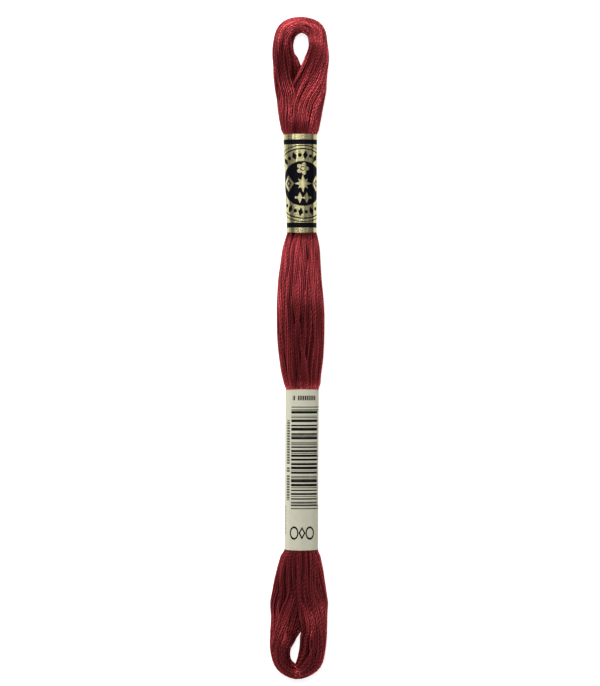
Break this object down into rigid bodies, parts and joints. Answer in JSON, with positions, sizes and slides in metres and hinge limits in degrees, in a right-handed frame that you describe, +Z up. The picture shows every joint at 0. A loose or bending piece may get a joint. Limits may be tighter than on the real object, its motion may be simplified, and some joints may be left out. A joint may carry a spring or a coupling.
{
  "type": "skein of embroidery floss",
  "caption": "Long flat skein of red embroidery floss with a small eye at each end, drawn in by a short gold and black paper band and a longer cream one.",
  "frame": {"origin": "under the middle of the skein's box, on the surface that it lies on", "axes": "+Y along the skein towards the upper loop beside the gold and black band, +X to its right, +Z up, away from the surface"},
  "size_m": [0.0147, 0.1645, 0.0067],
  "materials": {
    "floss": "mercerised six-strand cotton, garnet red with a silky sheen",
    "gold_paper": "glazed paper printed in pale gold and black",
    "cream_paper": "smooth uncoated cream paper printed in black"
  },
  "bodies": {
    "root": {"skein": "floss", "upper_band": "gold_paper", "lower_band": "cream_paper"}
  },
  "joints": []
}
